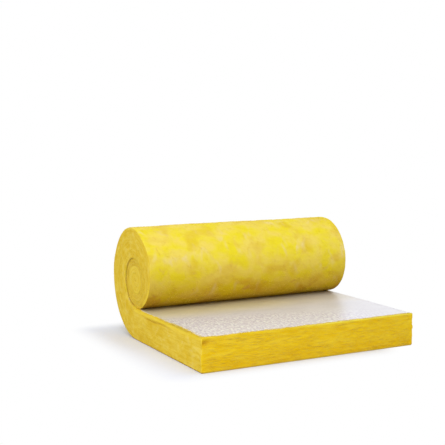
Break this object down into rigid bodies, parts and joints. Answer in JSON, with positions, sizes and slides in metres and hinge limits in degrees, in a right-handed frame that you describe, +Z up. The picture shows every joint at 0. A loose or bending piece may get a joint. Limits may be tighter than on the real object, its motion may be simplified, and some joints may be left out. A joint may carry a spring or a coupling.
{
  "type": "insulation roll",
  "caption": "Half-unrolled roll of thick yellow glass wool with a thin foil facing on its inner side, lying flat at its cut end and coiled at the other.",
  "frame": {"origin": "centre of the bounding box, on the floor under the mat", "axes": "+X along the roll, +Y from the cut end towards the back of the roll, +Z up"},
  "size_m": [1.2, 1.075, 0.5849],
  "materials": {
    "glass_wool": "soft fibrous yellow wool",
    "foil": "satin foil"
  },
  "bodies": {
    "root": {"wool_blanket": "glass_wool", "foil_facing": "foil"}
  },
  "joints": []
}
